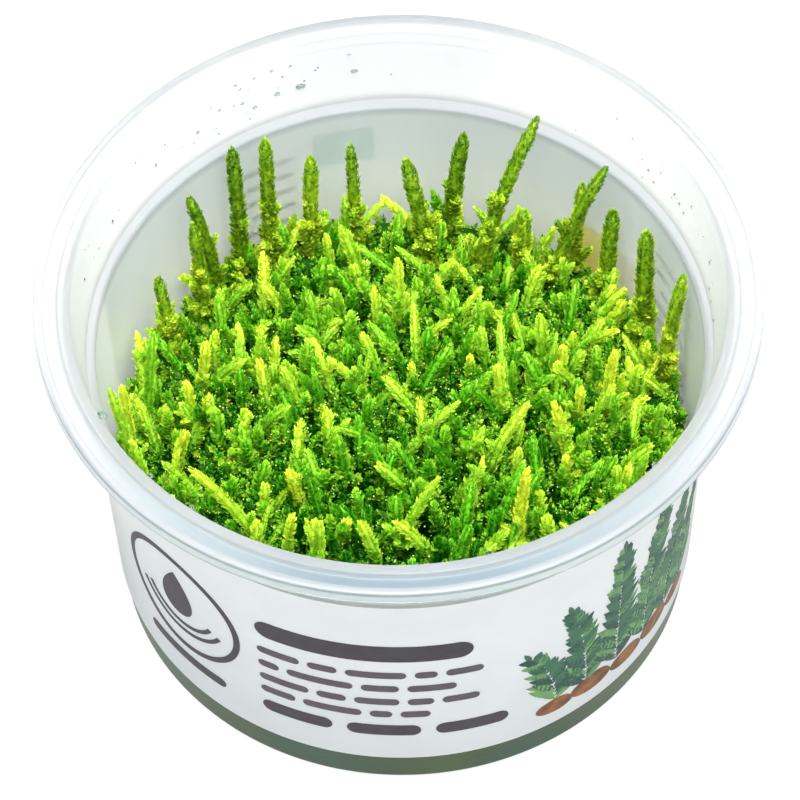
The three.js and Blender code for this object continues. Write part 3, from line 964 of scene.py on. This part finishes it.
def grown(places, chance, sunk, tall, wide, tilt, at_back, patchy=0, all_ways=math.pi):
    """Roots under the mat's surface, tips above it and widths, for stems that lean all ways or mostly to the
    back. Tall and wide are ranges in mm; at_back is how much taller they stand along the back."""
    count = len(places)
    tall = chance.uniform(*tall, count) * MM + patchy + at_back * back_edge(places[:, 1])
    roots = np.column_stack((places, mat_height(*places.T) - sunk))
    away = math.pi / 2 + chance.uniform(-all_ways, all_ways, count)
    lean = np.abs(chance.normal(0, tilt, count))
    reach = tall * np.sin(lean)
    rise = tall * np.cos(lean * 0.8)
    tips = roots + np.column_stack((reach * np.cos(away), reach * np.sin(away), rise))
    return kept_inside(roots), kept_inside(tips), chance.uniform(*wide, count) * MM


def cover(name, here, stems, chance, material, **leaves):
    """One joined piece of the mat's cover, from the stems of a layer that stand here. A layer's stems are
    their roots, tips, widths, and tones at the root and at the tip."""
    parts = leafy_stems(*(column[here] for column in stems), chance, **leaves)
    piece = leaf_mesh(name, parts, material)
    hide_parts("moss_mat")


moss_green = moss_leaf("moss_leaves", through=0.4)
mat_reach = float(gel_radius(MAT_RIM_HEIGHT)) - 0.6 * MM
moss_chance = np.random.default_rng(11)
places = spread_places(FINE_SPACING, mat_reach, moss_chance)
x, y = places.T
patch = patchiness(x, y)
stems = grown(
    places, moss_chance, sunk=4.0 * MM, tall=(4.2, 6.2), wide=(1.0, 1.7), tilt=0.45,
    at_back=1.2 * MM, patchy=1.1 * MM * patch,
)
tones = 0.385 + 0.27 * patch + moss_chance.normal(0, 0.12, len(places))
tones = np.clip(tones + painted_light_and_shade(x, y), 0.1, 0.85)
# Painted shade: each sprig is darkest at its root, deep in the mat, and lightest at its tip.
for name, here in (
    ("moss_sprigs_back_left", (x < 0) & (y >= 0)),
    ("moss_sprigs_back_right", (x >= 0) & (y >= 0)),
    ("moss_sprigs_front_left", (x < 0) & (y < 0)),
    ("moss_sprigs_front_right", (x >= 0) & (y < 0)),
):
    cover(
        name, here, (*stems, 0.4 * tones, 1.15 * tones), moss_chance, moss_green,
        per_mm=14, opening=(0.5, 1.3), core_share=0.05, bare=0.25, uneven=0.18, sparkle=0.12,
    )

# Fronds
# Fuller, softer sprigs stand a little out of the fine ones, in loose groups. They grow on a thicker stem,
# and none stand in the few gaps along the wall, where the moss is low.
FROND_SPACING = 3.1 * MM
GAP_MIDDLES = np.array([-24.0, -3.5, 12.6, 23.0]) * MM
GAP_HALVES = np.array([1.6, 3.2, 1.8, 1.4]) * MM


def open_to_wall(x, y):
    """True in the few gaps along the back wall where only low moss grows."""
    between_shoots = (y > 23 * MM) & np.any(np.abs(x[:, None] - GAP_MIDDLES) < GAP_HALVES, axis=1)
    by_panels = (np.abs(x - 28 * MM) < 5 * MM) & (y > 0) & (np.hypot(x, y) > 35.5 * MM)
    return between_shoots | by_panels


frond_chance = np.random.default_rng(29)
places = spread_places(FROND_SPACING, mat_reach - 0.3 * MM, frond_chance)
patch = patchiness(*places.T)
kept = (frond_chance.random(len(places)) < 0.52 + 0.6 * patch) & ~open_to_wall(*places.T)
places, patch = places[kept], patch[kept]
x, y = places.T
stems = grown(
    places, frond_chance, sunk=3.2 * MM, tall=(5.5, 9.5), wide=(1.5, 2.4), tilt=0.3, at_back=1.4 * MM
)
tones = 0.56 + 0.12 * patch + frond_chance.normal(0, 0.14, len(places))
tones = np.clip(tones + painted_light_and_shade(x, y), 0.3, 1)
# Painted shade: each frond darkens down towards its root, deep in the mat.
for name, here in (("moss_fronds_left", x < 0), ("moss_fronds_right", x >= 0)):
    cover(
        name, here, (*stems, 0.55 * tones, tones), frond_chance, moss_green,
        per_mm=19, opening=(0.45, 1.05), core_share=0.13, bare=0.2, uneven=0.11, sparkle=0.02,
        blunt=0.22, flat=0.4,
    )

# Short shoots
# Hundreds of young tips stand out of the mat, about a third of them a bright yellow green. Each is one
# plump stem, set with leaves that lie close to it in two rows.
SHORT_SPACING = 4.0 * MM

shoot_green = moss_leaf("shoot_leaves", through=0.12)
short_chance = np.random.default_rng(17)
places = spread_places(SHORT_SPACING, mat_reach - 0.4 * MM, short_chance)
kept = short_chance.random(len(places)) < 0.85 + 0.4 * patchiness(*places.T)
places = places[kept & ~open_to_wall(*places.T)]
x, y = places.T
stems = grown(
    places, short_chance, sunk=2.8 * MM, tall=(7.0, 11.0), wide=(1.5, 2.2), tilt=0.5,
    at_back=1.2 * MM, all_ways=2.0,
)
bright = short_chance.random(len(places)) < 0.36 + 0.16 * (np.abs(x) > 16 * MM)
tones = np.where(
    bright,
    short_chance.uniform(0.84, 1.06, len(places)),
    short_chance.uniform(0.52, 0.80, len(places)) + painted_light_and_shade(x, y),
)
# Painted shade: each short shoot darkens down towards its root, deep in the mat.
for name, here in (("moss_short_shoots_left", x < 0), ("moss_short_shoots_right", x >= 0)):
    cover(
        name, here, (*stems, 0.6 * tones, tones), short_chance, shoot_green,
        per_mm=21, opening=(0.35, 0.9), core_share=0.2, bare=0.1, uneven=0.08, flat=0.6,
    )

# Tall shoots
# Each tall shoot is one stem set with small overlapping leaves, bushier at its foot. The new growth at the
# front and in the middle is a bright yellow green; the shoots along the back are older and a fuller green.
OLDER_SHADES = [
    (0.0, (0.010, 0.060, 0.001)),
    (0.25, (0.085, 0.250, 0.006)),
    (0.5, (0.270, 0.500, 0.018)),
    (0.75, (0.600, 0.790, 0.045)),
    (1.0, (0.880, 0.950, 0.080)),
]
# How light a shoot's tip is, and the numbers of the shoots that are.
OLDER_TONES = {0.43: (1, 3, 8), 0.5: (2, 4, 6, 7, 9, 11, 13, 14, 17), 0.6: (5, 10, 12, 15)}
YOUNG_TONES = {
    1.14: (23, 26, 43, 47),
    1.045: (20, 21, 22, 39, 45),
    0.95: (30, 34, 37, 41, 44),
    0.874: (19, 29, 31, 33, 38, 40, 46, 49),
    0.722: (16, 18, 25, 27, 28, 32, 36, 50),
    0.57: (24, 35, 42, 48),
}

older_tips = {number: tone for tone, numbers in OLDER_TONES.items() for number in numbers}
young_tips = {number: tone for tone, numbers in YOUNG_TONES.items() for number in numbers}
older_green = moss_leaf("older_shoot_leaves", 0.15, OLDER_SHADES, mottle=0.16, mottle_scale=800)
shoot_chance = np.random.default_rng(23)
for node_name in sorted(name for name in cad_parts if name.startswith("shoot_")):
    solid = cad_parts[node_name].data
    spots = np.array([vert.co for vert in solid.vertices])
    low, high = spots[spots[:, 2].argmin()], spots[spots[:, 2].argmax()]
    lean = high - low
    measured = bmesh.new()
    measured.from_mesh(solid)
    thick = 2 * math.sqrt(measured.calc_volume() / math.pi / float(np.linalg.norm(lean)))
    measured.free()
    number = int(node_name.split("_")[1])
    older = number in older_tips
    if older:
        tip_tone = older_tips[number]
        base_tone = tip_tone + 0.15
        width = min(2.8 * MM, max(2.1 * MM, thick * 2.0))
        habit = {"per_mm": 28, "core_share": 0.29, "uneven": 0.11, "blunt": 0.12, "flat": 0.1}
    else:
        tip_tone = young_tips[number]
        # Painted shade: young shoots darken towards their foot.
        base_tone = 0.78 * tip_tone
        width = min(2.2 * MM, max(1.6 * MM, thick * 1.5))
        habit = {"per_mm": 24, "core_share": 0.22, "uneven": 0.05, "blunt": 0.15, "flat": 0.45}
    stem = (np.array([value]) for value in (low, high, width, base_tone, tip_tone))
    parts = leafy_stems(*stem, shoot_chance, opening=(0.3, 0.85), **habit)
    sprigs = []
    for _ in range(18 if older and lean[2] > 15 * MM else 4):
        start = 0.5 * shoot_chance.random() ** 1.5
        bend = start * (0.45 + 0.55 * start)
        begin = low + lean * (bend, bend, start)
        way = shoot_chance.uniform(0, 2 * math.pi)
        reach = shoot_chance.uniform(0.8, 3.6) * (1 - 1.3 * start) * MM
        up = shoot_chance.uniform(3.0, 6.5) * (1 - 0.7 * start) * MM
        end = begin + (reach * math.cos(way), reach * math.sin(way), up)
        sprig_tone = base_tone + shoot_chance.uniform(-0.12, 0.14)
        sprig_width = width * shoot_chance.uniform(0.45, 0.8)
        # Painted shade: the sprigs darken towards their roots.
        sprigs.append((begin, end, sprig_width, 0.8 * base_tone, sprig_tone))
    begins, ends, *rest = (np.array(column) for column in zip(*sprigs))
    parts += leafy_stems(
        begins, kept_inside(ends), *rest, shoot_chance,
        per_mm=20, opening=(0.4, 1.05), core_share=0.14, uneven=0.13, sparkle=0.04,
    )
    shoot = leaf_mesh(f"leafy_{node_name}", parts, older_green if older else shoot_green)
    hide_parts(node_name)

# Pale bits on the moss
# Tiny buds and loose leaf tips lie all over the moss, with pale beads that stand for glints on water,
# painted highlights. Each is a small uneven bead that lies just over the mat's surface.
BIT_SPACING = 1.5 * MM


def pale_bits():
    """Moist straw and pale green, partly painted highlight standing for glints of water."""
    mat, tree, shader, _ = new_material("pale_bits")
    shades = [(0.3, (0.90, 0.78, 0.22)), (0.5, (0.70, 0.90, 0.22)), (0.7, (0.92, 1.0, 0.62))]
    feed(tree, shader, {"Base Color": ramp(tree, blotches(tree, 700, 2), shades), "Roughness": 0.25})
    return mat


bit_chance = np.random.default_rng(41)
bits = spread_places(BIT_SPACING, mat_reach, bit_chance, jitter=0.5)
bit_heights = mat_height(*bits.T) + bit_chance.uniform(0.2, 2.4, len(bits)) * MM
bit_sizes = bit_chance.uniform(0.04, 0.19, (len(bits), 3)) * MM
corners = np.array([(1, 0, 0), (0, 1, 0), (-1, 0, 0), (0, -1, 0), (0, 0, 1), (0, 0, -1)])
bit_faces = [(i, (i + 1) % 4, 4) for i in range(4)] + [((i + 1) % 4, i, 5) for i in range(4)]
bit_points = kept_inside(np.column_stack((bits, bit_heights)))[:, None] + corners * bit_sizes[:, None]
bit_piece = piece_of(
    "moss_pale_bits",
    bit_points.reshape(-1, 3).tolist(),
    (np.array(bit_faces) + 6 * np.arange(len(bits))[:, None, None]).reshape(-1, 3).tolist(),
)
bit_piece.data.materials.append(pale_bits())
settle(bit_piece, smooth_angle=180)
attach(bit_piece, "root")
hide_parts("moss_mat")

# Condensation
# Drops of condensed water hang on the bare upper wall, mostly at the back left, and a few larger ones
# sit on the inner edge of the mouth at the front.
MOUTH_DROP_HEIGHT = 56.6

# Each drop on the wall: degrees round the cup, height, half its width and half its height in mm.
drops = [
    (107.5, 51.3, 0.76, 0.46),
    (112.1, 51.1, 0.46, 0.34),
    (97.1, 52.1, 0.52, 0.30),
    (116.9, 50.2, 0.36, 0.32),
    (119.2, 51.8, 0.30, 0.28),
    (124.0, 52.6, 0.28, 0.26),
    (129.4, 51.1, 0.32, 0.30),
    (140.2, 51.1, 0.28, 0.32),
    (154.9, 50.5, 0.20, 0.52),
    (170.0, 51.5, 0.22, 0.42),
    (109.0, 55.2, 0.22, 0.18),
    (112.7, 55.4, 0.26, 0.18),
    (116.1, 55.2, 0.22, 0.16),
    (110.7, 53.7, 0.20, 0.16),
    (120.0, 55.4, 0.24, 0.16),
    (119.2, 54.4, 0.22, 0.16),
    (97.9, 55.1, 0.24, 0.15),
    (35.4, 50.4, 0.22, 0.26),
    (33.5, 49.3, 0.20, 0.24),
    (27.3, 51.2, 0.20, 0.40),
    (25.4, 50.8, 0.20, 0.36),
    (23.5, 50.4, 0.20, 0.34),
    (21.6, 53.1, 0.20, 0.30),
    (10.5, 51.1, 0.20, 0.40),
    (7.6, 48.3, 0.14, 0.30),
    (5.2, 47.9, 0.14, 0.30),
    (0.9, 47.7, 0.16, 0.30),
]
# The larger drops on the mouth's rounded edge: degrees round, distance from the middle and half width.
mouth_drops = [
    (-154.0, 42.5, 0.75),
    (-138.5, 42.6, 0.4),
    (-128.7, 42.6, 0.4),
    (-42.0, 42.8, 0.5),
    (-56.8, 43.3, 0.4),
    (-76.0, 42.7, 0.5),
    (168.9, 43.3, 0.35),
    (173.7, 43.3, 0.3),
]


def still_water():
    """Clear water with a painted grey-teal tint, for the darker things seen through it."""
    mat, tree, shader, _ = new_material("condensed_water")
    tint = ramp(tree, blotches(tree, 300, 1), [(0.3, (0.46, 0.58, 0.58)), (0.7, (0.66, 0.76, 0.76))])
    feed(tree, shader, {"Base Color": tint, "Roughness": 0.03, "IOR": 1.33, "Transmission Weight": 1})
    return mat


def upper_wall_inside(height):
    """Inside radius of the bare wall between the ledge and the mouth."""
    low, high = LEDGE_HEIGHT + 0.9 * MM, CUP_HEIGHT - 0.6 * MM
    share = (height - low) / (high - low)
    return (UPPER_WALL_RADIUS - WALL) * (1 - share) + MOUTH_RADIUS * share


bpy.ops.object.select_all(action="DESELECT")
bpy.ops.mesh.primitive_ico_sphere_add(subdivisions=2, radius=1)
model_drop = bpy.context.active_object
drop_points = np.array([vert.co for vert in model_drop.data.vertices])
drop_faces = np.array([face.vertices for face in model_drop.data.polygons])
bpy.data.objects.remove(model_drop)
drop_chance = random.Random(5)
for count, middle, scatter, lowest, highest, largest in (
    (26, 125, 18, 48.5, 55, 0.16),
    (18, 20, 16, 48, 54.5, 0.15),
):
    for _ in range(count):
        turn = drop_chance.gauss(middle, scatter)
        height = drop_chance.uniform(lowest, highest)
        half = drop_chance.uniform(0.07, largest)
        drops.append((turn, height, half, half))
shaped_drops = []
for turn, height, half_width, half_height in drops:
    angle = math.radians(turn)
    outward = np.array([math.cos(angle), math.sin(angle), 0])
    sideways = np.array([-math.sin(angle), math.cos(angle), 0])
    upright = np.array([0, 0, 1])
    at = outward * (upper_wall_inside(height * MM) - 0.02 * MM) + upright * height * MM
    shaped = (
        drop_points[:, :1] * outward * half_width * 0.45
        + drop_points[:, 1:2] * sideways * half_width
        + drop_points[:, 2:3] * upright * half_height
    )
    shaped_drops.append(at + (shaped - outward * half_width * 0.35) * MM)
for turn, distance, half in mouth_drops:
    angle = math.radians(turn)
    at = np.array([distance * math.cos(angle), distance * math.sin(angle), MOUTH_DROP_HEIGHT])
    shaped_drops.append((at + drop_points * (half, half, half * 0.5)) * MM)
starts = len(drop_points) * np.arange(len(shaped_drops))
water = piece_of(
    "condensation_drops",
    np.concatenate(shaped_drops).tolist(),
    (drop_faces + starts[:, None, None]).reshape(-1, 3).tolist(),
)
water.data.materials.append(still_water())
settle(water, smooth_angle=180)
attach(water, "root")

# Studio
# A plain white floor runs into a white room, with soft light from above and from the front. The camera
# stands in front of the cup and above it, and looks 54 degrees down through a long lens.
LIGHTS_AIM = np.array([0, 0, 0.03])

bpy.ops.object.select_all(action="DESELECT")
bpy.ops.mesh.primitive_plane_add(size=3, location=(0, 0, -0.1 * MM))
floor = bpy.context.active_object
floor.name = "studio_floor"
floor_mat, floor_tree, floor_shader, _ = new_material("white_floor")
feed(floor_tree, floor_shader, {
    "Base Color": (0.12, 0.12, 0.12, 1),
    "Roughness": 0.8,
    "Emission Color": (1, 1, 1, 1),
    "Emission Strength": 0.88,
})
floor.data.materials.append(floor_mat)

world = bpy.data.worlds.new("white_room")
world.use_nodes = True
room = world.node_tree.nodes["Background"]
feed(world.node_tree, room, {"Color": (1, 1, 1, 1), "Strength": 1.06})
bpy.context.scene.world = world

for name, place, size, power in (
    ("softbox_above", (0.03, -0.10, 0.66), 0.40, 7.2),
    ("softbox_front", (0.3, -0.6, 0.4), 0.4, 0.5),
):
    lamp = bpy.data.lights.new(name, "AREA")
    lamp.shape = "DISK"
    lamp.size = size
    lamp.energy = power
    softbox = placed(name, lamp)
    softbox.location = place
    way = LIGHTS_AIM - place
    pitch = math.acos(-way[2] / np.linalg.norm(way))
    softbox.rotation_euler = (pitch, 0, math.atan2(way[1], way[0]) - math.pi / 2)

camera = bpy.data.cameras.new("camera")
camera.sensor_width = 36
camera.lens = 195.58
camera.clip_start, camera.clip_end = 0.01, 20
camera_ob = placed("camera", camera)
camera_ob.location = (0, -344.03 * MM, 504.55 * MM)
camera_ob.rotation_euler = tuple(math.radians(turn) for turn in (36.0889, 0.9236, -1.2418))

scene = bpy.context.scene
scene.camera = camera_ob
scene.view_settings.view_transform = "Standard"
scene.view_settings.look = "None"
